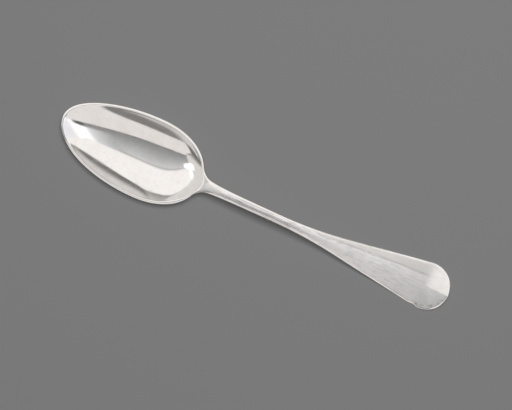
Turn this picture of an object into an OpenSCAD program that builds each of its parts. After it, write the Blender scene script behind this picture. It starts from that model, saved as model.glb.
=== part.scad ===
// A forged table spoon of solid silver, face up, as it lies on a table.
// It is one piece: bowl, stem and handle are hammered from one bar.
// X runs from the bowl's tip to the end of the handle, Z is up, and the
// origin is under the middle of the spoon, on the table.
// Sizes are in millimetres.

/* [Overall] */
// Length of the spoon from the bowl's tip to the end of the handle
length = 202.5; // [165:0.5:245]

/* [Bowl] */
// Length from the bowl's tip to its widest place
bowl_front = 44.6; // [36:0.1:54]
// Length from the bowl's widest place to its heel
bowl_back = 28.1; // [23:0.1:35]
// Width of the bowl at its widest place
bowl_w = 39.8; // [32:0.1:48]
// Depth of the hollow below the rim
bowl_depth = 8.2; // [6.5:0.1:10]
// Steepness of the wall at the bowl's sides, where 2 is a parabola
side_wall = 2.15; // [1.9:0.05:2.8]
// Steepness of the wall at the tip
tip_wall = 2.7; // [2:0.05:3.2]
// Steepness of the wall at the heel
heel_wall = 1.9; // [1.7:0.05:2.4]
// Roundness of the bowl's outline at the tip, where 2 is an ellipse
tip_form = 1.98; // [1.6:0.02:2.4]
// Roundness of the bowl's outline at the heel, where 2 is an ellipse
heel_form = 2.15; // [1.7:0.05:2.6]
// How far wear has moved the tip to one side
tip_wear = 1.7; // [0:0.1:2]
// Length over which that wear dies away
tip_wear_l = 10.5; // [8:0.5:14]

/* [Bowl wall] */
// Thickness of the wall at the bottom of the bowl
floor_t = 0.95; // [0.7:0.05:1.4]
// Thickness of the rim
rim_t = 1.3; // [1:0.05:1.7]
// Width of the rim's upper face
rim_w = 1.1; // [0.9:0.05:1.4]
// How far the rim's upper face falls towards its outer edge
rim_fall = 0.45; // [0.3:0.05:0.6]
// Rounding of the rim's outer edge
rim_round = 0.3; // [0.2:0.05:0.6]
// Softness of the edge between the rim and the hollow
rim_soft = 0.15; // [0.1:0.05:0.4]
// How far the hollow reaches into the neck, beyond an even rim
heel_reach = 2.3; // [1.8:0.1:2.6]
// Roundness of the hollow's outline at the heel, where 2 is an ellipse
hollow_form = 1.76; // [1.6:0.02:1.84]
// How much higher the rim lies at the tip than at the widest place
tip_rise = 1.2; // [0.5:0.1:2]
// How much higher the rim lies at the heel than at the widest place
heel_rise = 2.2; // [1.2:0.1:3]

/* [Drop on the bowl's back] */
// Length of the drop, from the heel towards the tip
drop_l = 13; // [9:0.5:16]
// Width of the drop
drop_w = 7; // [5.5:0.1:9]
// Height of the drop above the bowl's back
drop_t = 0.8; // [0.5:0.05:1.2]
// Width of the drop's sloping edge
drop_edge = 1.6; // [1:0.1:2.4]

/* [Neck and stem] */
// Radius of the shoulders between the bowl and the neck
shoulder_r = 7.7; // [5:0.1:9]
// Width of the neck at the heel
neck_w = 7.9; // [6.5:0.1:9.5]
// Thickness of the neck at the heel
neck_t = 4.8; // [4:0.1:6]
// Length over which the neck narrows and thins
neck_taper = 6.4; // [5.2:0.1:8.5]
// Width of the stem at its narrowest
stem_w = 4.8; // [3.9:0.1:5.8]
// Thickness of the stem
stem_t = 4.1; // [3.3:0.1:5]
// Height of the stem's rounded face above its edges
stem_crown = 0.8; // [0.4:0.05:1]
// Height of the stem's rounded back below its edges
stem_back = 1.2; // [0.9:0.05:1.5]
// Rounding of the corners between the stem's back and sides
stem_round = 1.2; // [0.8:0.05:1.6]
// Rounding of the corners between the stem's face and sides
stem_corner = 0.4; // [0.2:0.05:0.8]
// How far the stem and handle bend to one side and back
side_bend = 0.28; // [0:0.02:0.5]

/* [Handle] */
// Width of the handle's round end
end_w = 22.8; // [18.4:0.1:27.4]
// Slope of each side of the handle in plan, in degrees
flare_deg = 8.4; // [6.8:0.1:9.8]
// Radius of the curve from the stem into the handle's sides
flare_r = 230; // [190:5:280]
// Thickness of the handle at its end
end_t = 2; // [1.6:0.05:2.6]
// Height of the handle's crowned face above its edges
end_crown = 0.9; // [0.5:0.05:1.1]
// Height of the handle's crowned back below its edges
end_back = 0.3; // [0.2:0.05:0.4]
// Rounding of the corners between the handle's back and sides
end_round = 0.6; // [0.4:0.05:0.9]
// Rounding of the corners between the handle's face and sides
end_corner = 0.9; // [0.5:0.05:1.2]

/* [Turned-up end] */
// Length of the end that is turned up
turn_l = 10.2; // [8:0.1:13]
// Angle of the turned-up end, in degrees
turn_deg = 22; // [15:1:28]
// Radius of the bend at the foot of the turned-up end
turn_r = 16; // [12:0.5:20]
// Length of the short rib on the face, from the end of the handle
rib_l = 14; // [11:0.1:17]
// Length over which the rib rises to its full height
rib_run = 7; // [5:0.1:9]
// Height of the rib
rib_h = 0.9; // [0.6:0.05:1.2]
// Half the width of the rib at its foot
rib_w = 9; // [7:0.1:10.5]
// Depth of the nick in one side of the handle
nick_d = 0.5; // [0:0.05:0.8]
// Length of the nick
nick_l = 1.8; // [1.2:0.1:2.6]
// Distance of the nick from the end of the handle
nick_x = 13.4; // [11:0.1:16]

/* [Hidden] */

// Where each stretch of the spoon begins, measured from the bowl's tip
heel_x = bowl_front + bowl_back;
hollow_x = heel_x - rim_w + heel_reach;
end_r = end_w / 2;
end_x = length - end_r;
turn_x = length - turn_l;

// Where the curve into the handle's sides begins and ends
flare_cross = end_x - (end_r / cos(flare_deg) - stem_w / 2) / tan(flare_deg);
flare_x = flare_cross - flare_r * tan(flare_deg / 2);
side_x = flare_x + flare_r * sin(flare_deg);
round_x = end_x - end_r * sin(flare_deg);

// Height of the rim over the table, and depth of the bowl's back below the rim
rim_h = bowl_depth + floor_t;
back_depth = rim_h - rim_t;

// Stretches over which one section turns into the next
heel_before = 6;
heel_after = 8;
back_soft = 0.6;

// Fall of the rim's face, where 1 is a flat slope and 2 is a parabola
rim_bend = 1.1;

// Part of the edge's thickness that lies above the widest line, on the stem and handle
edge_high = 0.22;

// Form of the rib's flanks, where 1 is a straight flank
rib_form = 1.2;

// Numbers of stretches in the net of points, across the spoon from its middle
hollow_n = 9;
rim_n = 2;
edge_n = 3;
keel_n = 5;
back_n = 5;

// Shares of half the width where those stretches meet, away from the bowl
rim_share = 0.8;
rim_most = 0.97;
keel_share = 0.5;
edge_share = 0.5;

// A length too small to matter
small = 0.01;

// A step from 0 to 1 with soft ends
function ramp(u) = u <= 0 ? 0 : u >= 1 ? 1 : u * u * (3 - 2 * u);

// A mix of two values
function mix(a, b, part) = a + (b - a) * part;

// A value where it is positive and 0 where it is negative, with a soft corner
function soft(value, corner) = (value + sqrt(value * value + corner * corner)) / 2;

// The bowl's egg shape, from the outline (no inset) to the edge of the hollow (the rim's width)
function egg_reach(x, inset) =
    x < bowl_front ? bowl_front - inset : bowl_back - inset + heel_reach * inset / rim_w;
function egg_form(x, inset) =
    let (part = ramp((x - bowl_front) / bowl_back) * inset / rim_w)
    x < bowl_front ? tip_form : mix(heel_form, hollow_form, part);
function egg_half(x, inset = 0) =
    let (u = abs(x - bowl_front) / egg_reach(x, inset))
    let (form = egg_form(x, inset))
    u >= 1 ? 0 : (bowl_w / 2 - inset) * pow(1 - pow(u, form), 1 / form);
function egg_size(x, y, inset = 0) =
    let (u = abs(x - bowl_front) / egg_reach(x, inset))
    let (v = abs(y) / (bowl_w / 2 - inset))
    let (form = egg_form(x, inset))
    pow(pow(u, form) + pow(v, form), 1 / form);

// The egg's size without the change of curve at its widest place, which blends into the true egg
function smooth_size(x, y, inset) =
    let (front = bowl_front - inset)
    let (reach = egg_reach(x, inset))
    let (u = abs(x - bowl_front))
    let (v = y / (bowl_w / 2 - inset))
    let (along = pow(u / front, 2) + (1 - pow(reach / front, 2)) * pow(u / reach, 3))
    let (size = egg_size(x, y, inset))
    mix(sqrt(along + v * v), size, pow(min(size, 1), 2));

// Steepness of the bowl's wall, which changes from its sides to its tip and heel
function wall_form(x, y, inset) =
    let (u = abs(x - bowl_front) / egg_reach(x, inset))
    let (along = pow(u / max(egg_size(x, y, inset), small), egg_form(x, inset)))
    mix(side_wall, x < bowl_front ? tip_wall : heel_wall, along);
function bowl_form(x, y, inset) = 1 - pow(smooth_size(x, y, inset), wall_form(x, y, inset));

// Half the width of the neck, stem and handle without the shoulders
function flare_rise(x) =
    x <= flare_x ? 0 :
    x < side_x ? flare_r - sqrt(flare_r * flare_r - pow(x - flare_x, 2)) :
    flare_r * (1 - cos(flare_deg)) + (x - side_x) * tan(flare_deg);
// The neck's share of width and thickness, which is 1 at the heel and grows for one taper before it
function neck_part(x) = exp(min((heel_x - x) / neck_taper, 1));
function stem_half(x) = mix(stem_w, neck_w, neck_part(x)) / 2 + flare_rise(x);

// The shoulder arc leaves the egg where both have the same place and slope
function egg_fall(x) = (egg_half(x - small) - egg_half(x)) / small;
function stem_fall(x) = (stem_half(x - small) - stem_half(x)) / small;
function bend_to(x) = max(egg_fall(x) - stem_fall(x), 0);
function shoulder_gap(x) =
    let (slope = bend_to(x))
    egg_half(x) - stem_half(x) - shoulder_r * (1 - 1 / sqrt(1 + slope * slope));
function find_shoulder(low, high) =
    let (middle = (low + high) / 2)
    high - low < small ? middle :
    shoulder_gap(middle) > 0 ? find_shoulder(middle, high) : find_shoulder(low, middle);
shoulder_x = find_shoulder(bowl_front + small, heel_x - small);
shoulder_slope = bend_to(shoulder_x);
neck_x = shoulder_x + shoulder_r * shoulder_slope / sqrt(1 + pow(shoulder_slope, 2));

// Half the width of the spoon in plan, all along its length
function half_w(x) =
    x <= shoulder_x ? egg_half(x) :
    x < neck_x ? stem_half(x) + shoulder_r - sqrt(pow(shoulder_r, 2) - pow(neck_x - x, 2)) :
    x < round_x ? stem_half(x) :
    sqrt(max(pow(end_r, 2) - pow(x - end_x, 2), 0));

// The line along the middle: wear has moved it aside at the tip, and the handle is not quite straight
function middle_y(x) =
    let (u = min(max((x - heel_x) / (turn_x - heel_x), 0), 1))
    tip_wear * exp(-x / tip_wear_l) + side_bend * sin(360 * u) * sin(180 * u);

// The nick in one side of the handle, which draws that side in
function nick(x, v) = v < 0 ? -v * nick_d * exp(-pow((x - length + nick_x) / nick_l, 2)) : 0;

// How far a place lies inside the outline
function inside(x, y) =
    x < bowl_front
    ? let (size = max(egg_size(x, y), 1 / 2))
      (1 / size - 1) * max(norm([bowl_front - x, y]), bowl_w / 4)
    : x > end_x ? end_r - norm([x - end_x, y])
    : half_w(x) - abs(y);

// Changes of the section along the spoon
function at_stem(x) = ramp((x - heel_x + heel_before) / (heel_before + heel_after));
function at_end(x) = ramp((x - flare_x) / (turn_x - flare_x));
function crown_top(x) = mix(stem_crown, end_crown, at_end(x)) * ramp((x - heel_x) / heel_after);
function crown_back(x) = mix(stem_back, end_back, at_end(x));
function thick(x) = mix(stem_t, end_t, at_end(x)) + (neck_t - stem_t) * neck_part(x);
function edge_t(x) = mix(rim_t, thick(x) - crown_top(x) - crown_back(x), at_stem(x));
function edge_above(x) = mix(1 / 2, edge_high, at_stem(x)) * edge_t(x);

// Rounding of the edge's upper and lower corners
function face_round(x) = mix(rim_round, mix(stem_corner, end_corner, at_end(x)), at_stem(x));
function back_round(x) = mix(rim_round, mix(stem_round, end_round, at_end(x)), at_stem(x));
function edge_part(x, y, radius) =
    let (reach = min(max(inside(x, y), 0) / radius, 1))
    sqrt(1 - pow(1 - reach, 2));

// Rise of the turned-up end: an arc, and a straight line that would start at turn_x without the arc
bend_l = turn_r * tan(turn_deg / 2);
function turn_up(x) =
    let (run = x - turn_x + bend_l)
    run <= 0 ? 0 :
    run < turn_r * sin(turn_deg) ? turn_r - sqrt(turn_r * turn_r - run * run) :
    turn_r * (1 - cos(turn_deg)) + (run - turn_r * sin(turn_deg)) * tan(turn_deg);

// Height of the rim over the table, which rises to the tip and to the heel
function rim_z(x) =
    let (u = (x - bowl_front) / egg_reach(x, 0))
    rim_h + (u < 0 ? tip_rise * u * u : heel_rise * u * u * u);
rim_slope = 3 * heel_rise / bowl_back;

// Height of the stem's back at its middle: an arch from the neck to the table, where the bend begins
neck_z = rim_z(heel_x) - neck_t;
neck_slope = rim_slope + (neck_t - stem_t) / neck_taper;
arch_l = turn_x - bend_l - heel_x;
function arch_z(x) =
    let (u = min(max((x - heel_x) / arch_l, 0), 1))
    neck_z * (1 + 2 * u) * pow(1 - u, 2) + neck_slope * arch_l * u * pow(1 - u, 2);
function under_bowl_z(x) = neck_z - neck_slope * neck_taper * (1 - exp((x - heel_x) / neck_taper));
function stem_back_z(x) = x < heel_x ? under_bowl_z(x) : arch_z(x);

// Height of the upper edge of the spoon's sides
function upper_z(x) = x < heel_x ? rim_z(x) : arch_z(x) + thick(x) - crown_top(x);

// The fall of the rim's upper face towards its outer edge
function rim_drop(x, y) =
    let (from_hollow = 1 - min(max(inside(x, y), 0) / rim_w, 1))
    rim_fall * pow(from_hollow, rim_bend) * (1 - at_stem(x));

// The hollow of the bowl
function hollow(x, y) = soft(bowl_depth * bowl_form(x, y, rim_w), rim_soft);

// The bulge of the bowl's back below the rim
function bulge(x, y) =
    let (corner = back_soft * ramp((x - heel_x) / (2 * heel_before) + 1))
    soft(back_depth * bowl_form(x, y, 0), corner);

// The keel that the stem's back makes below its edges and below the heel
function keel_h(x) =
    let (bare = upper_z(x) - edge_t(x) - bulge(x, 0))
    let (corner = back_soft * (1 - at_stem(x)))
    soft(bare - stem_back_z(x), corner) * ramp((x - heel_x) / (2 * heel_before) + 1);
function keel(x, y) =
    let (v = min(abs(y) / min(half_w(x), stem_half(max(x, heel_x))), 1))
    keel_h(x) * pow(1 - v * v, mix(2, 1, at_stem(x)));

// The drop, a tongue with a round end on the bowl's back
drop_x = heel_x - drop_l + drop_w / 2;
function drop(x, y) =
    let (from_edge = drop_w / 2 - norm([min(x - drop_x, 0), y]))
    drop_t * ramp(from_edge / drop_edge) * (1 - at_stem(x));

// The rib on the face of the turned-up end
function rib(x, y) =
    rib_h * ramp((x - length + rib_l) / rib_run) * pow(1 - min(abs(y) / rib_w, 1), rib_form);

// Heights of the edge, the face and the back over the table
function edge_z(x) = upper_z(x) - edge_above(x) + turn_up(x);
function face_z(x, y) =
    let (crown = crown_top(x) * (1 - pow(y / max(half_w(x), small), 2)))
    let (height = edge_above(x) - rim_drop(x, y) + crown + rib(x, y) - hollow(x, y))
    edge_z(x) + edge_part(x, y, face_round(x)) * height;
function back_z(x, y) =
    let (depth = edge_t(x) - edge_above(x) + bulge(x, y) + keel(x, y) + drop(x, y))
    edge_z(x) - edge_part(x, y, back_round(x)) * depth;

// Places across the spoon, from the middle (0) to the edge (1): evenly to a first
// line, evenly to where the edge starts to round, and then round the edge
function edge_from(x, radius) = 1 - min(radius / max(half_w(x), small), edge_share);
function face_from(x) = edge_from(x, face_round(x));
function back_from(x) = edge_from(x, back_round(x));
function rim_line(x) =
    let (rim = egg_half(x, rim_w) / max(half_w(x), small))
    min(max(rim, rim_share * face_from(x)), rim_most * face_from(x));
function keel_line(x) =
    let (keel = (drop_w / 2 + drop_edge) / max(half_w(x), small))
    min(keel, keel_share * back_from(x));
function place(line, from, first_n, next_n, i) =
    i <= first_n ? line * i / first_n :
    i <= first_n + next_n ? mix(line, from, (i - first_n) / next_n) :
    1 - (1 - from) * (1 - sin(90 * (i - first_n - next_n) / edge_n));
function face_place(x, i) = place(rim_line(x), face_from(x), hollow_n, rim_n, i);
function back_place(x, i) = place(keel_line(x), back_from(x), keel_n, back_n, i);

// One closed ring of points round the spoon
face_half = hollow_n + rim_n + edge_n;
back_half = keel_n + back_n + edge_n;
ring_n = 2 * face_half + 2 * back_half;
function point(x, v, z) = [x - length / 2, v * half_w(x) + middle_y(x) + nick(x, v), z];
function face_point(x, v) = point(x, v, face_z(x, v * half_w(x)));
function back_point(x, v) = point(x, v, back_z(x, v * half_w(x)));
function ring(x) = concat(
    [for (i = [-face_half : face_half]) face_point(x, sign(i) * face_place(x, abs(i)))],
    [for (i = [back_half - 1 : -1 : 1 - back_half]) back_point(x, sign(i) * back_place(x, abs(i)))]
);

// Stations along the spoon, close together where the shape turns quickly
function even(from, to, count) = [for (i = [1 : count]) mix(from, to, i / count)];
function slow_start(from, to, count) = [for (i = [1 : count]) mix(from, to, 1 - cos(90 * i / count))];
function slow_stop(from, to, count) = [for (i = [1 : count]) mix(from, to, sin(90 * i / count))];
stations = concat(
    slow_start(0, rim_w, 4),
    slow_start(rim_w, bowl_front, 17),
    even(bowl_front, heel_x - drop_l, 6),
    slow_stop(heel_x - drop_l, hollow_x, 16),
    even(hollow_x, neck_x, 6),
    even(neck_x, flare_x, 8),
    even(flare_x, turn_x - bend_l, 13),
    even(turn_x - bend_l, turn_x + bend_l, 9),
    slow_stop(turn_x + bend_l, length, 13)
);
ring_count = len(stations) - 1;
last_ring = 1 + (ring_count - 1) * ring_n;
last_point = 1 + ring_count * ring_n;

module spoon() {
    points = concat(
        [point(0, 0, edge_z(0))],
        [for (s = [0 : ring_count - 1]) each ring(stations[s])],
        [point(length, 0, edge_z(length))]
    );
    tip_faces = [for (i = [0 : ring_n - 1]) [0, 1 + (i + 1) % ring_n, 1 + i]];
    side_faces = [
        for (s = [0 : ring_count - 2])
            for (i = [0 : ring_n - 1])
                let (a = 1 + s * ring_n + i)
                let (b = 1 + s * ring_n + (i + 1) % ring_n)
                each [[a, b + ring_n, a + ring_n], [a, b, b + ring_n]]
    ];
    end_faces = [
        for (i = [0 : ring_n - 1])
            [last_ring + i, last_ring + (i + 1) % ring_n, last_point]
    ];
    color("silver") polyhedron(points, concat(tip_faces, side_faces, end_faces), convexity = 6);
}

spoon();
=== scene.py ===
# Looks of the forged silver table spoon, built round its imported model.
# The spoon's surface follows the same formulas as the part's source, in a finer net.
import math
import bpy
import numpy as np
from mathutils import Matrix, Vector


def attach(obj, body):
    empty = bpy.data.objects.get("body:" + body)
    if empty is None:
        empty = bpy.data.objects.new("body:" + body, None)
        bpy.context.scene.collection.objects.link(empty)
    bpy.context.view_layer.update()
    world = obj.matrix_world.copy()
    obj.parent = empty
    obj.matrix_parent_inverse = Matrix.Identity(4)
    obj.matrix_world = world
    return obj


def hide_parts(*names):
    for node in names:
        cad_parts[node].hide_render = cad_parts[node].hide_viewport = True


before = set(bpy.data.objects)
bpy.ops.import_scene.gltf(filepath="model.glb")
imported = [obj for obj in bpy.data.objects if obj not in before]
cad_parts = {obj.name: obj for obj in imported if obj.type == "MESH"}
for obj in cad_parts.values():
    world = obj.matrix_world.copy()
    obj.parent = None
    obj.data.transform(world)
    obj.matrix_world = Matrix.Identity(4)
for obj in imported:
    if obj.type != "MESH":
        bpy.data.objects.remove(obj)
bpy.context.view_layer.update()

# Sizes of the spoon, in millimetres and degrees, as in the part's source
LENGTH = 202.5
BOWL_FRONT = 44.6
BOWL_BACK = 28.1
BOWL_W = 39.8
BOWL_DEPTH = 8.2
SIDE_WALL = 2.15
TIP_WALL = 2.7
HEEL_WALL = 1.9
TIP_FORM = 1.98
HEEL_FORM = 2.15
TIP_WEAR = 1.7
TIP_WEAR_L = 10.5
FLOOR_T = 0.95
RIM_T = 1.3
RIM_W = 1.1
RIM_FALL = 0.45
RIM_BEND = 1.1
RIM_ROUND = 0.3
RIM_SOFT = 0.15
HEEL_REACH = 2.3
HOLLOW_FORM = 1.76
TIP_RISE = 1.2
HEEL_RISE = 2.2
DROP_L = 13
DROP_W = 7
DROP_T = 0.8
DROP_EDGE = 1.6
SHOULDER_R = 7.7
NECK_W = 7.9
NECK_T = 4.8
NECK_TAPER = 6.4
STEM_W = 4.8
STEM_T = 4.1
STEM_CROWN = 0.8
STEM_BACK = 1.2
STEM_ROUND = 1.2
STEM_CORNER = 0.4
EDGE_HIGH = 0.22
END_W = 22.8
FLARE_DEG = 8.4
FLARE_R = 230
END_T = 2
END_CROWN = 0.9
END_BACK = 0.3
END_ROUND = 0.6
END_CORNER = 0.9
SIDE_BEND = 0.28
TURN_L = 10.2
TURN_DEG = 22
TURN_R = 16
RIB_L = 14
RIB_RUN = 7
RIB_H = 0.9
RIB_W = 9
RIB_FORM = 1.2
NICK_D = 0.5
NICK_L = 1.8
NICK_X = 13.4
HEEL_BEFORE = 6
HEEL_AFTER = 8
BACK_SOFT = 0.6

# Numbers of stretches in the net of points, from the middle of the spoon to its edge
HOLLOW_N = 42
RIM_N = 8
EDGE_N = 10
KEEL_N = 16
BACK_N = 20

# Shares that keep the lines of the net apart: the rim's, the keel's and the start of the edge's rounding
RIM_SHARE = 0.8
RIM_MOST = 0.97
KEEL_SHARE = 0.5
EDGE_SHARE = 0.5

# A length that is small beside every form, and a millimetre in metres
SMALL = 0.01
MM = 0.001

# Where each stretch of the spoon begins, measured from the bowl's tip
FLARE = math.radians(FLARE_DEG)
TURN = math.radians(TURN_DEG)
HEEL_X = BOWL_FRONT + BOWL_BACK
HOLLOW_X = HEEL_X - RIM_W + HEEL_REACH
END_R = END_W / 2
END_X = LENGTH - END_R
TURN_X = LENGTH - TURN_L
FLARE_CROSS = END_X - (END_R / math.cos(FLARE) - STEM_W / 2) / math.tan(FLARE)
FLARE_X = FLARE_CROSS - FLARE_R * math.tan(FLARE / 2)
SIDE_X = FLARE_X + FLARE_R * math.sin(FLARE)
ROUND_X = END_X - END_R * math.sin(FLARE)
RIM_H = BOWL_DEPTH + FLOOR_T
BACK_DEPTH = RIM_H - RIM_T


def ramp(u):
    u = np.clip(u, 0, 1)
    return u * u * (3 - 2 * u)


def mix(a, b, part):
    return a + (b - a) * part


def soft(value, corner):
    return (value + np.sqrt(value * value + corner * corner)) / 2


# The bowl's egg shape, from the outline (no inset) to the edge of the hollow (the rim's width)
def egg_reach(x, inset=0.0):
    return np.where(x < BOWL_FRONT, BOWL_FRONT, BOWL_BACK + HEEL_REACH * inset / RIM_W) - inset


def egg_form(x, inset=0.0):
    part = ramp((x - BOWL_FRONT) / BOWL_BACK) * inset / RIM_W
    return np.where(x < BOWL_FRONT, TIP_FORM, mix(HEEL_FORM, HOLLOW_FORM, part))


def egg_half(x, inset=0.0):
    u = np.minimum(np.abs(x - BOWL_FRONT) / egg_reach(x, inset), 1)
    form = egg_form(x, inset)
    return (BOWL_W / 2 - inset) * (1 - u ** form) ** (1 / form)


def egg_size(x, y, inset=0.0):
    u = np.abs(x - BOWL_FRONT) / egg_reach(x, inset)
    v = np.abs(y) / (BOWL_W / 2 - inset)
    form = egg_form(x, inset)
    return (u ** form + v ** form) ** (1 / form)


# Half the width of the neck, stem and handle without the shoulders
def flare_rise(x):
    run = np.clip(x - FLARE_X, 0, SIDE_X - FLARE_X)
    arc = FLARE_R - np.sqrt(FLARE_R ** 2 - run ** 2)
    return arc + np.maximum(x - SIDE_X, 0) * math.tan(FLARE)


def neck_part(x):
    return np.exp(np.minimum((HEEL_X - x) / NECK_TAPER, 1))


def stem_half(x):
    return mix(STEM_W, NECK_W, neck_part(x)) / 2 + flare_rise(x)


# The shoulder arc leaves the egg where both have the same place and slope
def bend_to(x):
    egg_fall = (egg_half(x - SMALL) - egg_half(x)) / SMALL
    stem_fall = (stem_half(x - SMALL) - stem_half(x)) / SMALL
    return max(float(egg_fall - stem_fall), 0.0)


def find_shoulder():
    low, high = BOWL_FRONT + SMALL, HEEL_X - SMALL
    while high - low > SMALL:
        middle = (low + high) / 2
        slope = bend_to(middle)
        gap = egg_half(middle) - stem_half(middle) - SHOULDER_R * (1 - 1 / math.hypot(1, slope))
        if gap > 0:
            low = middle
        else:
            high = middle
    return (low + high) / 2


SHOULDER_X = find_shoulder()
SHOULDER_SLOPE = bend_to(SHOULDER_X)
NECK_X = SHOULDER_X + SHOULDER_R * SHOULDER_SLOPE / math.hypot(1, SHOULDER_SLOPE)


# Half the width of the spoon in plan, all along its length
def half_w(x):
    arc = SHOULDER_R - np.sqrt(np.maximum(SHOULDER_R ** 2 - (NECK_X - x) ** 2, 0))
    end = np.sqrt(np.maximum(END_R ** 2 - (x - END_X) ** 2, 0))
    return np.select(
        [x <= SHOULDER_X, x < NECK_X, x < ROUND_X],
        [egg_half(x), stem_half(x) + arc, stem_half(x)],
        end,
    )


def middle_y(x):
    u = np.clip((x - HEEL_X) / (TURN_X - HEEL_X), 0, 1)
    return TIP_WEAR * np.exp(-x / TIP_WEAR_L) + SIDE_BEND * np.sin(2 * np.pi * u) * np.sin(np.pi * u)


def nick(x, v):
    return np.maximum(-v, 0) * NICK_D * np.exp(-((x - LENGTH + NICK_X) / NICK_L) ** 2)


# How far a place lies inside the outline
def inside(x, y):
    size = np.maximum(egg_size(x, y), 0.5)
    in_bowl = (1 / size - 1) * np.maximum(np.hypot(BOWL_FRONT - x, y), BOWL_W / 4)
    in_end = END_R - np.hypot(x - END_X, y)
    return np.select([x < BOWL_FRONT, x > END_X], [in_bowl, in_end], half_w(x) - np.abs(y))


# Changes of the section along the spoon
def at_stem(x):
    return ramp((x - HEEL_X + HEEL_BEFORE) / (HEEL_BEFORE + HEEL_AFTER))


def at_end(x):
    return ramp((x - FLARE_X) / (TURN_X - FLARE_X))


def crown_top(x):
    return mix(STEM_CROWN, END_CROWN, at_end(x)) * ramp((x - HEEL_X) / HEEL_AFTER)


def crown_back(x):
    return mix(STEM_BACK, END_BACK, at_end(x))


def thick(x):
    return mix(STEM_T, END_T, at_end(x)) + (NECK_T - STEM_T) * neck_part(x)


def edge_t(x):
    return mix(RIM_T, thick(x) - crown_top(x) - crown_back(x), at_stem(x))


def face_round(x):
    return mix(RIM_ROUND, mix(STEM_CORNER, END_CORNER, at_end(x)), at_stem(x))


def back_round(x):
    return mix(RIM_ROUND, mix(STEM_ROUND, END_ROUND, at_end(x)), at_stem(x))


def edge_part(x, y, radius):
    reach = np.clip(inside(x, y) / radius, 0, 1)
    return np.sqrt(1 - (1 - reach) ** 2)


# Part of the edge's thickness that lies above its widest line
def edge_above(x):
    return mix(0.5, EDGE_HIGH, at_stem(x)) * edge_t(x)


# The rim's top falls away towards the outline
def rim_fall(x, y):
    from_rim = 1 - np.clip(inside(x, y) / RIM_W, 0, 1)
    return RIM_FALL * from_rim ** RIM_BEND * (1 - at_stem(x))


# Rise of the turned-up end: a straight line from TURN_X on, with an arc at its foot
BEND_L = TURN_R * math.tan(TURN / 2)


def turn_up(x):
    run = np.maximum(x - TURN_X + BEND_L, 0)
    on_arc = np.minimum(run, TURN_R * math.sin(TURN))
    arc = TURN_R - np.sqrt(TURN_R ** 2 - on_arc ** 2)
    return arc + (run - on_arc) * math.tan(TURN)


# Height of the rim over the table, which rises to the tip and to the heel
def rim_z(x):
    u = (x - BOWL_FRONT) / egg_reach(x)
    return RIM_H + np.where(u < 0, TIP_RISE * u * u, HEEL_RISE * u * u * u)


RIM_SLOPE = 3 * HEEL_RISE / BOWL_BACK
NECK_Z = RIM_H + HEEL_RISE - NECK_T
NECK_SLOPE = RIM_SLOPE + (NECK_T - STEM_T) / NECK_TAPER
ARCH_L = TURN_X - BEND_L - HEEL_X


# Height of the stem's back at its middle: an arch from the neck to the table
def arch_z(x):
    u = np.clip((x - HEEL_X) / ARCH_L, 0, 1)
    return NECK_Z * (1 + 2 * u) * (1 - u) ** 2 + NECK_SLOPE * ARCH_L * u * (1 - u) ** 2


def stem_back_z(x):
    fade = np.exp((np.minimum(x, HEEL_X) - HEEL_X) / NECK_TAPER)
    under_bowl = NECK_Z - NECK_SLOPE * NECK_TAPER * (1 - fade)
    return np.where(x < HEEL_X, under_bowl, arch_z(x))


def upper_z(x):
    return np.where(x < HEEL_X, rim_z(np.minimum(x, HEEL_X)), arch_z(x) + thick(x) - crown_top(x))


# Steepness of the bowl's wall, which differs at the sides, tip and heel
def wall_form(x, y, inset):
    u = np.abs(x - BOWL_FRONT) / egg_reach(x, inset)
    along = (u / np.maximum(egg_size(x, y, inset), SMALL)) ** egg_form(x, inset)
    return mix(SIDE_WALL, np.where(x < BOWL_FRONT, TIP_WALL, HEEL_WALL), along)


# The egg's size without the change of curve at its widest place, and its blend into the true egg
def smooth_size(x, y, inset):
    reach = egg_reach(x, inset)
    front = BOWL_FRONT - inset
    u = np.abs(x - BOWL_FRONT)
    v = np.abs(y) / (BOWL_W / 2 - inset)
    along = (u / front) ** 2 + (1 - (reach / front) ** 2) * (u / reach) ** 3
    size = egg_size(x, y, inset)
    return mix(np.sqrt(along + v * v), size, np.minimum(size, 1) ** 2)


def hollow(x, y):
    return soft(BOWL_DEPTH * (1 - smooth_size(x, y, RIM_W) ** wall_form(x, y, RIM_W)), RIM_SOFT)


def heel_fade(x):
    return ramp((x - HEEL_X) / (2 * HEEL_BEFORE) + 1)


def bulge(x, y):
    return soft(BACK_DEPTH * (1 - smooth_size(x, y, 0) ** wall_form(x, y, 0)), BACK_SOFT * heel_fade(x))


# The keel that the stem's back makes below its edges and below the heel
def keel(x, y):
    bare = upper_z(x) - edge_t(x) - bulge(x, 0 * x)
    height = soft(bare - stem_back_z(x), BACK_SOFT * (1 - at_stem(x))) * heel_fade(x)
    v = np.minimum(np.abs(y) / np.minimum(half_w(x), stem_half(np.maximum(x, HEEL_X))), 1)
    return height * (1 - v * v) ** mix(2, 1, at_stem(x))


def drop(x, y):
    drop_x = HEEL_X - DROP_L + DROP_W / 2
    from_edge = DROP_W / 2 - np.hypot(np.minimum(x - drop_x, 0), y)
    return DROP_T * ramp(from_edge / DROP_EDGE) * (1 - at_stem(x))


# The rib on the face of the turned-up end
def rib(x, y):
    return RIB_H * ramp((x - LENGTH + RIB_L) / RIB_RUN) * (1 - np.minimum(np.abs(y) / RIB_W, 1)) ** RIB_FORM


# Heights of the edge, the face and the back over the table
def edge_z(x):
    return upper_z(x) - edge_above(x) + turn_up(x)


def face_z(x, y):
    crown = crown_top(x) * (1 - (y / np.maximum(half_w(x), SMALL)) ** 2)
    height = edge_above(x) - rim_fall(x, y) + crown + rib(x, y) - hollow(x, y)
    return edge_z(x) + edge_part(x, y, face_round(x)) * height


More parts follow.
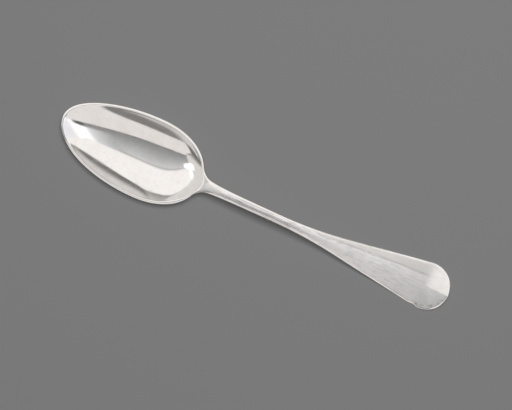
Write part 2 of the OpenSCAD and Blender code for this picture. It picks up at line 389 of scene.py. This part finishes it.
def back_z(x, y):
    depth = edge_t(x) - edge_above(x) + bulge(x, y) + keel(x, y) + drop(x, y)
    return edge_z(x) - edge_part(x, y, back_round(x)) * depth


# Places across the spoon, from the middle (0) to the edge (1)
def edge_from(x, radius):
    return 1 - np.minimum(radius / np.maximum(half_w(x), SMALL), EDGE_SHARE)


def rim_line(x):
    start = edge_from(x, face_round(x))
    rim = egg_half(x, RIM_W) / np.maximum(half_w(x), SMALL)
    return np.minimum(np.maximum(rim, RIM_SHARE * start), RIM_MOST * start)


def keel_line(x):
    keel_at = (DROP_W / 2 + DROP_EDGE) / np.maximum(half_w(x), SMALL)
    return np.minimum(keel_at, KEEL_SHARE * edge_from(x, back_round(x)))


def places(line, start, first_n, next_n):
    first = [line * i / first_n for i in range(first_n)]
    second = [mix(line, start, i / next_n) for i in range(next_n)]
    turns = [math.sin(math.pi / 2 * i / EDGE_N) for i in range(EDGE_N + 1)]
    return np.concatenate(first + second + [1 - (1 - start) * (1 - t) for t in turns], axis=1)


# Stations along the spoon, counted for each stretch, close together where the shape turns quickly
def even(start, end, count):
    return [mix(start, end, i / count) for i in range(1, count + 1)]


def slow_start(start, end, count):
    return [mix(start, end, 1 - math.cos(math.pi / 2 * i / count)) for i in range(1, count + 1)]


def slow_stop(start, end, count):
    return [mix(start, end, math.sin(math.pi / 2 * i / count)) for i in range(1, count + 1)]


STATIONS = (
    slow_start(0, RIM_W, 14)
    + slow_start(RIM_W, BOWL_FRONT, 90)
    + even(BOWL_FRONT, HEEL_X - DROP_L, 34)
    + slow_stop(HEEL_X - DROP_L, HOLLOW_X, 66)
    + even(HOLLOW_X, NECK_X, 24)
    + even(NECK_X, FLARE_X, 34)
    + even(FLARE_X, TURN_X - BEND_L, 66)
    + even(TURN_X - BEND_L, TURN_X + BEND_L, 56)
    + slow_stop(TURN_X + BEND_L, LENGTH, 66)
)


def spoon_points():
    """Points of the spoon: the tip, the rings of points and the end."""
    x = np.array(STATIONS[:-1]).reshape(-1, 1)
    face_v = places(rim_line(x), edge_from(x, face_round(x)), HOLLOW_N, RIM_N)
    back_v = places(keel_line(x), edge_from(x, back_round(x)), KEEL_N, BACK_N)
    face_v = np.concatenate([-face_v[:, :0:-1], face_v], axis=1)
    back_v = np.concatenate([back_v[:, -2:0:-1], -back_v[:, :-1]], axis=1)
    v = np.concatenate([face_v, back_v], axis=1)
    wide = np.broadcast_to(x, v.shape)
    y = v * half_w(x)
    face_n = face_v.shape[1]
    z = np.concatenate(
        [face_z(wide[:, :face_n], y[:, :face_n]), back_z(wide[:, face_n:], y[:, face_n:])], axis=1
    )
    rings = np.stack([wide - LENGTH / 2, y + middle_y(wide) + nick(wide, v), z], axis=2)
    ends = [[at - LENGTH / 2, float(middle_y(at)), float(edge_z(np.array(at)))] for at in (0.0, LENGTH)]
    return np.concatenate([[ends[0]], rings.reshape(-1, 3), [ends[1]]]), rings.shape[:2]


def spoon_faces(ring_count, ring_n):
    """Faces of the spoon: a fan at the tip, quads between the rings and a fan at the end."""
    last_ring = 1 + (ring_count - 1) * ring_n
    last_point = 1 + ring_count * ring_n
    faces = [(0, 1 + i, 1 + (i + 1) % ring_n) for i in range(ring_n)]
    for ring in range(ring_count - 1):
        start = 1 + ring * ring_n
        for i in range(ring_n):
            a, b = start + i, start + (i + 1) % ring_n
            faces.append((a, a + ring_n, b + ring_n, b))
    faces += [(last_ring + (i + 1) % ring_n, last_ring + i, last_point) for i in range(ring_n)]
    return faces


def make_spoon():
    points, (ring_count, ring_n) = spoon_points()
    mesh = bpy.data.meshes.new("spoon_silver")
    mesh.from_pydata((points * MM).tolist(), [], spoon_faces(ring_count, ring_n))
    mesh.polygons.foreach_set("use_smooth", [True] * len(mesh.polygons))
    mesh.update()
    piece = bpy.data.objects.new("spoon_silver", mesh)
    bpy.context.scene.collection.objects.link(piece)
    return piece


# Shorthand for building materials and the world
class Nodes:
    def __init__(self, tree):
        self.tree = tree

    def add(self, kind, inputs=None, **settings):
        node = self.tree.nodes.new(kind)
        for name, value in settings.items():
            setattr(node, name, value)
        for name, value in (inputs or {}).items():
            socket = node.inputs[name]
            if isinstance(value, bpy.types.NodeSocket):
                self.tree.links.new(value, socket)
            else:
                socket.default_value = value
        return node

    def maths(self, operation, a, b=0.0, c=0.0, clamp=False):
        node = self.add("ShaderNodeMath", {0: a, 1: b, 2: c}, operation=operation, use_clamp=clamp)
        return node.outputs[0]

    def minus(self, a, b):
        return self.maths("SUBTRACT", a, b)

    def product(self, first, *others):
        for other in others:
            first = self.maths("MULTIPLY", first, other)
        return first

    def scaled(self, vector, scale):
        return self.add("ShaderNodeVectorMath", {0: vector, 1: scale}, operation="MULTIPLY").outputs[0]

    def measured(self, operation, vector, other):
        """A number from two vectors: their dot product or their distance."""
        node = self.add("ShaderNodeVectorMath", {0: vector, 1: tuple(other)}, operation=operation)
        return node.outputs["Value"]

    def noise(self, vector, scale, detail, roughness, seed):
        inputs = {"Vector": vector, "W": seed, "Scale": scale, "Detail": detail, "Roughness": roughness}
        return self.add("ShaderNodeTexNoise", inputs, noise_dimensions="4D").outputs["Fac"]

    def step(self, value, low, high, out_low=0.0, out_high=1.0, kind="SMOOTHSTEP"):
        inputs = {"Value": value, "From Min": low, "From Max": high, "To Min": out_low, "To Max": out_high}
        return self.add("ShaderNodeMapRange", inputs, interpolation_type=kind).outputs[0]

    def line(self, value, low, high, out_low=0.0, out_high=1.0):
        return self.step(value, low, high, out_low, out_high, kind="LINEAR")

    def fall(self, value, low, high):
        return self.step(value, low, high, 1, 0)

    def between(self, value, start, end):
        """1 from the end of one fade to the start of another, each a pair of values."""
        return self.product(self.step(value, *start), self.fall(value, *end))

    def ramp(self, factor, colours):
        """Colours along a factor from 0 to 1, each with its position."""
        node = self.add("ShaderNodeValToRGB", {"Fac": factor})
        elements = node.color_ramp.elements
        while len(elements) < len(colours):
            elements.new(1)
        for element, (position, colour) in zip(elements, colours):
            element.position = position
            element.color = (*colour, 1)
        return node.outputs["Color"]

    def curve(self, angle, points):
        """A smooth curve through a few points, from angle to angle in degrees."""
        node = self.add("ShaderNodeFloatCurve", {"Value": self.line(angle, -90, 90)})
        places = [((a + 90) / 180, (b + 90) / 180) for a, b in points]
        node.mapping.extend = "HORIZONTAL"
        curve = node.mapping.curves[0]
        for point, place in zip(curve.points, (places[0], places[-1])):
            point.location = place
        for place in places[1:-1]:
            curve.points.new(*place)
        node.mapping.update()
        return self.maths("MULTIPLY_ADD", node.outputs[0], 180, -90)

    def mixed(self, factor, a, b):
        """A mix of two colours, each a socket or three numbers."""
        colours = {6: a, 7: b}
        inputs = {i: v if isinstance(v, bpy.types.NodeSocket) else (*v, 1) for i, v in colours.items()}
        return self.add("ShaderNodeMix", {0: factor, **inputs}, data_type="RGBA").outputs[2]


# How rough the bowl is, how much rougher or smoother each other stretch is, and the edges' smoother share
BOWL_ROUGH = 0.07
STEM_MORE = 0.16
HANDLE_MORE = 0.2
END_MORE = -0.1
NECK_MORE = 0.17
EDGE_LESS = 0.7

# Pairs of places along the spoon between which the looks of a stretch begin, and those of the neck end
STEM_FROM = (HEEL_X, HEEL_X + 4)
NECK_TO = (HEEL_X + 6, HEEL_X + 18)
SLIM_FROM = (HEEL_X + 5, HEEL_X + 12)
HANDLE_FROM = (110, 145)
END_FROM = (TURN_X - 6, TURN_X + 1)

# Colours of the silver, of the marks on it, and of the reflection painted on the handle
SILVER = (0.95, 0.94, 0.925)
WARM_SILVER = (0.89, 0.865, 0.84)
HAZE = (0.86, 0.825, 0.8)
MOTTLE = (0.72, 0.722, 0.72)
STREAK = (0.56, 0.555, 0.545)
# The beige of the reflection painted on the handle's upper side, and the painted dark line at its edge
PAINTED_REFLECTION = (0.76, 0.745, 0.71)
PAINTED_DARK_LINE = (0.5, 0.495, 0.48)
MARK = (0.36, 0.36, 0.36)
PIT = (0.42, 0.4, 0.39)
DEEP_PIT = (0.2, 0.19, 0.18)

# Places: where the line of the painted reflection on the handle crosses a station and how it slopes, and the
# deeper pit
REFLECTION_LINE_X = 143
REFLECTION_LINE_Y = 2.3
REFLECTION_LINE_SLOPE = 0.055
DEEP_PIT_AT = (-26.2, -4.5, 11)
BUMP_DEPTH = 0.000006
BUMP_SHARE = 0.3


def silver_material():
    """Silver that is polished in the bowl, satin and worn on the handle and brighter at its end."""
    material = bpy.data.materials.new("silver")
    material.use_nodes = True
    tree = material.node_tree
    tree.nodes.clear()
    n = Nodes(tree)
    output = n.add("ShaderNodeOutputMaterial")
    place = n.scaled(n.add("ShaderNodeTexCoord").outputs["Object"], (1 / MM,) * 3)
    axes = n.add("ShaderNodeSeparateXYZ", {"Vector": place}).outputs
    along = n.maths("ADD", axes["X"], LENGTH / 2)
    across = axes["Y"]

    # How far a place on the handle lies inside its edge
    past_flare = n.maths("MAXIMUM", n.minus(along, FLARE_CROSS), 0)
    half = n.maths("MULTIPLY_ADD", past_flare, math.tan(FLARE), STEM_W / 2)
    from_side = n.minus(half, n.maths("ABSOLUTE", across))
    out = n.minus(along, END_X)
    far = n.maths("SQRT", n.maths("ADD", n.product(out, out), n.product(across, across)))
    from_end = n.minus(END_R, far)
    at_round = n.step(out, -0.5, 0.5)
    edge = n.maths("MULTIPLY_ADD", n.minus(from_end, from_side), at_round, from_side)

    # The stretches of the spoon
    on_stem = n.step(along, *STEM_FROM)
    at_neck = n.product(on_stem, n.fall(along, *NECK_TO))
    on_handle = n.step(along, *HANDLE_FROM)
    on_slim = n.minus(n.step(along, *SLIM_FROM), on_handle)
    on_end = n.step(along, *END_FROM)
    off_end = n.minus(1, on_end)

    # Soft clouds and haze, lengthwise mottles, thin streaks and fine scratches
    clouds = n.noise(place, scale=0.09, detail=3, roughness=0.5, seed=2)
    haze = n.noise(place, scale=0.35, detail=3, roughness=0.6, seed=8)
    mottles = n.noise(n.scaled(place, (0.11, 1, 1)), scale=1, detail=4, roughness=0.62, seed=1)
    streaks = n.noise(n.scaled(place, (0.035, 1.9, 1.9)), scale=1, detail=2, roughness=0.5, seed=5)
    fine = n.noise(n.scaled(place, (0.25, 6, 6)), scale=1, detail=2, roughness=0.6, seed=3)

    rough = BOWL_ROUGH
    stretches = ((on_stem, STEM_MORE), (on_handle, HANDLE_MORE), (on_end, END_MORE), (at_neck, NECK_MORE))
    for stretch, more in stretches:
        rough = n.maths("MULTIPLY_ADD", stretch, more, rough)
    bright_edge = n.product(n.fall(edge, 0.6, 1.1), on_stem)
    rough = n.product(rough, n.maths("MULTIPLY_ADD", bright_edge, -EDGE_LESS, 1))
    rough = n.maths("MULTIPLY_ADD", n.step(mottles, 0.35, 0.7, -0.02, 0.05), off_end, rough)
    rough = n.maths("ADD", rough, n.step(clouds, 0.3, 0.7, -0.01, 0.03), clamp=True)

    tint = n.mixed(n.step(clouds, 0.35, 0.75, 0.0, 0.5), SILVER, WARM_SILVER)
    tint = n.mixed(n.step(haze, 0.42, 0.68, 0.0, 0.4), tint, HAZE)
    less_at_end = n.maths("MULTIPLY_ADD", on_end, -0.6, 1)
    mottled = n.product(n.step(mottles, 0.42, 0.66, 0.0, 0.75), on_handle, less_at_end)
    tint = n.mixed(mottled, tint, MOTTLE)
    streaked = n.product(n.step(streaks, 0.48, 0.6, 0.0, 0.75), on_slim, n.step(edge, 0.3, 1.1))
    tint = n.mixed(streaked, tint, STREAK)

    # A reflection painted along the handle, beige towards its upper side, with a painted dark line where it
    # ends
    line = n.maths("MULTIPLY_ADD", n.minus(along, REFLECTION_LINE_X), REFLECTION_LINE_SLOPE, REFLECTION_LINE_Y)
    from_line = n.minus(across, line)
    painted_reflection_mask = n.product(n.step(from_line, -0.4, 0.7), on_handle, n.step(edge, 0.6, 1.6), off_end, 0.75)
    tint = n.mixed(painted_reflection_mask, tint, PAINTED_REFLECTION)
    # Painted dark line of the reflection, along the edge of the beige
    near_line = n.fall(n.maths("ABSOLUTE", from_line), 0.1, 0.9)
    painted_dark_line_mask = n.product(near_line, n.step(mottles, 0.35, 0.6, 0.3, 1), on_handle, off_end, 0.6)
    tint = n.mixed(painted_dark_line_mask, tint, PAINTED_DARK_LINE)

    # Dark marks inside the lower side of the end, fine pits, and one deeper pit by the shoulder
    marks = n.step(n.noise(place, scale=0.55, detail=3, roughness=0.6, seed=9), 0.44, 0.58)
    by_edge = n.between(edge, (0.6, 1.0), (1.4, 2.6))
    by_nick = n.step(along, LENGTH - NICK_X - 2, LENGTH - NICK_X)
    marked = n.product(marks, by_edge, by_nick, n.fall(across, -1.5, 1), 0.6)
    tint = n.mixed(marked, tint, MARK)
    pits = n.step(n.noise(place, scale=1.3, detail=1, roughness=0.5, seed=7), 0.68, 0.78, 0.0, 0.5)
    tint = n.mixed(pits, tint, PIT)
    to_pit = n.measured("DISTANCE", place, DEEP_PIT_AT)
    tint = n.mixed(n.step(to_pit, 0.5, 1.1, 0.8, 0), tint, DEEP_PIT)

    height = n.product(fine, 0.5)
    bump = n.add("ShaderNodeBump", {"Height": height, "Distance": BUMP_DEPTH, "Strength": BUMP_SHARE})
    shader = n.add(
        "ShaderNodeBsdfPrincipled",
        {"Base Color": tint, "Metallic": 1.0, "Roughness": rough, "Normal": bump.outputs[0]},
    )
    tree.links.new(shader.outputs[0], output.inputs["Surface"])
    return material


spoon = make_spoon()
spoon.data.materials.append(silver_material())
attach(spoon, "root")
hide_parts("spoon")

# The photograph's view: nearly from above, with the spoon's axis sloping down to the right
PHOTO_W = 512
PIXEL = 0.4766 * MM
AXIS_SLOPE = math.radians(24.8)
CAMERA_LEAN = math.radians(4)
CAMERA_FAR = 0.9
SENSOR = 36.0
CENTRE = Vector((-0.00033, 0.00127, 0.006))
RIGHT = Vector((math.cos(AXIS_SLOPE), math.sin(AXIS_SLOPE), 0))
UP = Vector((-math.sin(AXIS_SLOPE), math.cos(AXIS_SLOPE), 0))

# The floor's own colour and its even glow, and the lamp that lays the shadow, with its angles as below
FLOOR_HALF = 4.0
FLOOR_GREY = 0.176
FLOOR_GLOW = 0.05
KEY_SIZE = 0.46
KEY_POWER = 19.35
KEY_RISE = 11
KEY_TURN = 5
KEY_FAR = 1.5

# The room. A rise is the angle from the zenith towards the top of the picture, and a turn the angle from
# the zenith towards its right, both in degrees. Each edge is a curve through points of turn and rise.
TOP_BOX_NEAR = (
    (-70, 0), (-55, 8), (-42, 13), (-28, 15), (-12, 13), (0, 9), (20, 7), (34, 5), (45, 14), (62, 30),
)
TOP_BOX_FAR = (
    (-67, 30), (-64, 60), (-58, 72), (-41, 72.5), (-12, 69), (14, 66), (29, 63), (36, 57), (45, 51),
    (60, 44.5),
)
LOW_BOX_NEAR = ((-80, -58), (-67, -41), (-52, -35.5), (-20, -35), (5, -34), (40, -31.5))
LOW_BOX_FAR = (
    (-88, -85), (-78, -75), (-67, -69), (-52, -67), (-44, -68), (-34, -72), (-18, -77), (20, -80),
)
BOX_LEFT = -66

# Pairs of angles between which something in the room fades in or out
SHARP = (-1, 1)
TOP_BOX_SOFT = (-1, 3.5)
TOP_BOX_LEFT = (BOX_LEFT - 1, BOX_LEFT + 0.5)
LOW_BOX_LEFT = (-4, -2)
LIT_END_TURN = ((BOX_LEFT - 4, BOX_LEFT - 2), (BOX_LEFT + 1, BOX_LEFT + 3))
LIT_END_RISE = ((0, 4), (28, 50))
BARE_LAMP_RISE = ((-25, -17), (4, 8))
CARD_TURN = (2, 12)
CARD_SOFT = (-3, 3)
SPOT_TURN = ((26, 33), (38, 44))
SPOT_RISE = (-27, -21)
ABOVE_DARK_TURN = ((24, 34), (56, 64))
ABOVE_DARK_PAST = (8, 26)
ABOVE_LEFT_TURN = (-64, -50)
LEFT_WALL_PAST = (-5, -3)
LEFT_WALL_RISE = (-74, -66)
LEFT_WALL_PALE = (-68, -42)
LEFT_WALL_TOP = (0, 3)
NEAR_FLOOR_HIGH = (0.06, 0.15)

# Angles over which the colours of the card and of the walls run
CARD_RUN = (0, 50)
ABOVE_RUN = (0, 20)
BELOW_RUN = (-90, 0)

# Leaning sides: the angles between which each side moves, and where it starts and stops
CARD_LOW = (34, 42, -23, -33)
LEFT_WALL_SIDE = (-66, -40, -77, BOX_LEFT + 4)
BARE_LAMP_LEFT = (-22, -4, -74, -73)
BARE_LAMP_RIGHT = (-20, -4, -68, -55)

# The share of a grey light that the silver gives back
SILVER_LEVEL = 0.91


def room_grey(level, red=0.0, blue=0.0):
    """A colour that silver shows at a level from 0 to 255, with a share more or less of red and blue."""
    light = ((level / 255 + 0.055) / 1.055) ** 2.4 / SILVER_LEVEL
    return (light * (1 + red), light, light * (1 + blue))


TOP_BOX = room_grey(238, 0.03, -0.015)
LOW_BOX = room_grey(218, 0.045, -0.015)
CEILING = (
    (0.0, room_grey(104)),
    (0.07, room_grey(136)),
    (0.25, room_grey(148, -0.01, 0.01)),
    (0.5, room_grey(167, -0.015, 0.01)),
    (0.75, room_grey(187, -0.01, 0.01)),
    (0.9, room_grey(200)),
    (0.965, room_grey(176)),
    (1.0, room_grey(184)),
)
CARD = (
    (0.0, room_grey(150)),
    (0.28, room_grey(188, -0.01, 0.02)),
    (0.5, room_grey(212, -0.01, 0.03)),
    (0.62, room_grey(262)),
    (0.84, room_grey(262)),
    (1.0, room_grey(228, 0.0, 0.04)),
)
DARK_SPOT = room_grey(76)
LEFT_WALL = room_grey(208, 0.035, -0.025)
LEFT_LOW = room_grey(136, 0.03, -0.03)
ABOVE = (
    (0.0, room_grey(128, 0.03, -0.03)),
    (0.15, room_grey(148, 0.03, -0.03)),
    (0.4, room_grey(172, 0.035, -0.03)),
    (0.7, room_grey(192, 0.035, -0.03)),
    (1.0, room_grey(202, 0.035, -0.03)),
)
ABOVE_DARK = room_grey(112, 0.03, -0.02)
BELOW = (
    (0.0, room_grey(184, 0.03, -0.03)),
    (0.13, room_grey(165, 0.03, -0.03)),
    (0.2, room_grey(125, 0.03, -0.02)),
    (0.6, room_grey(118, 0.03, -0.02)),
    (0.7, room_grey(215)),
    (1.0, room_grey(225)),
)
NEAR_FLOOR = room_grey(204, 0.02, -0.02)
BARE_LAMP = room_grey(275)


def make_camera():
    data = bpy.data.cameras.new("camera")
    data.sensor_width = SENSOR
    data.lens = SENSOR * CAMERA_FAR / (PHOTO_W * PIXEL)
    data.clip_start = 0.01
    data.clip_end = 50
    camera = bpy.data.objects.new("camera", data)
    back = Vector((0, math.sin(CAMERA_LEAN), math.cos(CAMERA_LEAN)))
    right = (RIGHT - back * RIGHT.dot(back)).normalized()
    up = back.cross(right)
    turn = Matrix((right, up, back)).transposed().to_4x4()
    camera.matrix_world = Matrix.Translation(CENTRE + back * CAMERA_FAR) @ turn
    bpy.context.scene.collection.objects.link(camera)
    bpy.context.scene.camera = camera


def make_floor():
    """A grey floor that glows evenly in place of the room's light and takes the lamp's short shadow."""
    mesh = bpy.data.meshes.new("floor")
    corners = [(x * FLOOR_HALF, y * FLOOR_HALF, 0) for x, y in ((-1, -1), (1, -1), (1, 1), (-1, 1))]
    mesh.from_pydata(corners, [], [(0, 1, 2, 3)])
    floor = bpy.data.objects.new("floor", mesh)
    bpy.context.scene.collection.objects.link(floor)
    material = bpy.data.materials.new("floor")
    material.use_nodes = True
    shader = material.node_tree.nodes["Principled BSDF"]
    shader.inputs["Base Color"].default_value = (FLOOR_GREY, FLOOR_GREY, FLOOR_GREY, 1)
    shader.inputs["Roughness"].default_value = 0.9
    shader.inputs["Specular IOR Level"].default_value = 0.1
    shader.inputs["Emission Color"].default_value = (1, 1, 1, 1)
    shader.inputs["Emission Strength"].default_value = FLOOR_GLOW
    mesh.materials.append(material)


def make_world():
    """The studio as the silver shows it: two long soft boxes, the ceiling between them and the walls."""
    world = bpy.data.worlds.new("studio")
    world.use_nodes = True
    bpy.context.scene.world = world

    # The floor glows by itself, so the room lights no dull surface
    world.cycles_visibility.diffuse = False

    n = Nodes(world.node_tree)
    direction = n.add("ShaderNodeTexCoord").outputs["Generated"]
    high = n.add("ShaderNodeSeparateXYZ", {"Vector": direction}).outputs["Z"]
    sides = (n.measured("DOT_PRODUCT", direction, side) for side in (UP, RIGHT))
    rise, turn = (n.product(n.maths("ARCTAN2", side, high), 180 / math.pi) for side in sides)
    edges = (TOP_BOX_NEAR, TOP_BOX_FAR, LOW_BOX_NEAR, LOW_BOX_FAR)
    top_near, top_far, low_near, low_far = (n.curve(turn, points) for points in edges)
    from_top = n.minus(rise, top_near)
    from_low = n.minus(rise, low_near)
    past_top = n.minus(rise, top_far)
    past_low = n.minus(rise, low_far)

    # The ceiling between the boxes, with a pale card at the right and a dark spot beside it
    room = n.ramp(n.maths("DIVIDE", from_low, n.minus(top_near, low_near)), CEILING)
    card_low = n.step(turn, *CARD_LOW)
    in_card = n.product(n.step(n.minus(rise, card_low), *CARD_SOFT), n.step(turn, *CARD_TURN))
    room = n.mixed(in_card, room, n.ramp(n.line(turn, *CARD_RUN), CARD))
    in_spot = n.product(n.between(turn, *SPOT_TURN), n.fall(rise, *SPOT_RISE))
    room = n.mixed(in_spot, room, DARK_SPOT)

    # The walls beyond the boxes
    above = n.ramp(n.line(past_top, *ABOVE_RUN), ABOVE)
    in_dark = n.product(n.between(turn, *ABOVE_DARK_TURN), n.fall(past_top, *ABOVE_DARK_PAST))
    above = n.mixed(in_dark, above, ABOVE_DARK)
    above = n.mixed(n.fall(turn, *ABOVE_LEFT_TURN), above, LEFT_WALL)
    room = n.mixed(n.step(past_top, *SHARP), room, above)
    below = n.ramp(n.line(turn, *BELOW_RUN), BELOW)
    below = n.mixed(n.fall(high, *NEAR_FLOOR_HIGH), below, NEAR_FLOOR)
    room = n.mixed(n.fall(past_low, *SHARP), room, below)

    # The wall at the left, which begins where the lower box ends
    past_left = n.minus(turn, n.line(rise, *LEFT_WALL_SIDE))
    left = n.mixed(n.step(rise, *LEFT_WALL_PALE), LEFT_LOW, LEFT_WALL)
    at_left = n.product(n.fall(past_left, *LEFT_WALL_PAST), n.step(rise, *LEFT_WALL_RISE))
    room = n.mixed(n.product(at_left, n.fall(past_top, *LEFT_WALL_TOP)), room, left)

    # The soft boxes
    in_top = n.product(n.step(from_top, *TOP_BOX_SOFT), n.fall(past_top, *SHARP), n.step(turn, *TOP_BOX_LEFT))
    room = n.mixed(in_top, room, TOP_BOX)
    in_low = n.product(n.fall(from_low, *SHARP), n.step(past_low, *SHARP), n.step(past_left, *LOW_BOX_LEFT))
    room = n.mixed(in_low, room, LOW_BOX)

    # A bare lamp at the left, and the end of the soft box that it lights
    past_lamp_left = n.minus(turn, n.step(rise, *BARE_LAMP_LEFT))
    past_lamp_right = n.minus(turn, n.step(rise, *BARE_LAMP_RIGHT))
    lamp = n.product(n.step(past_lamp_left, *SHARP), n.fall(past_lamp_right, *SHARP))
    lamp = n.product(n.between(rise, *BARE_LAMP_RISE), lamp)
    lit_end = n.product(n.between(rise, *LIT_END_RISE), n.between(turn, *LIT_END_TURN))
    room = n.mixed(n.maths("MAXIMUM", lamp, lit_end), room, BARE_LAMP)
    world.node_tree.links.new(room, world.node_tree.nodes["Background"].inputs["Color"])


def make_key_lamp():
    """The lamp that lays the short shadow beside the spoon; the silver shows the soft box in its place."""
    data = bpy.data.lights.new("key", "AREA")
    data.size = KEY_SIZE
    data.energy = KEY_POWER
    lamp = bpy.data.objects.new("key", data)
    sideways = UP * math.tan(math.radians(KEY_RISE)) + RIGHT * math.tan(math.radians(KEY_TURN))
    towards = (Vector((0, 0, 1)) + sideways).normalized()
    lamp.location = towards * KEY_FAR
    lamp.rotation_euler = towards.to_track_quat("Z", "Y").to_euler()
    lamp.visible_glossy = False
    bpy.context.scene.collection.objects.link(lamp)


make_camera()
make_floor()
make_world()
make_key_lamp()
bpy.context.scene.view_settings.view_transform = "Standard"
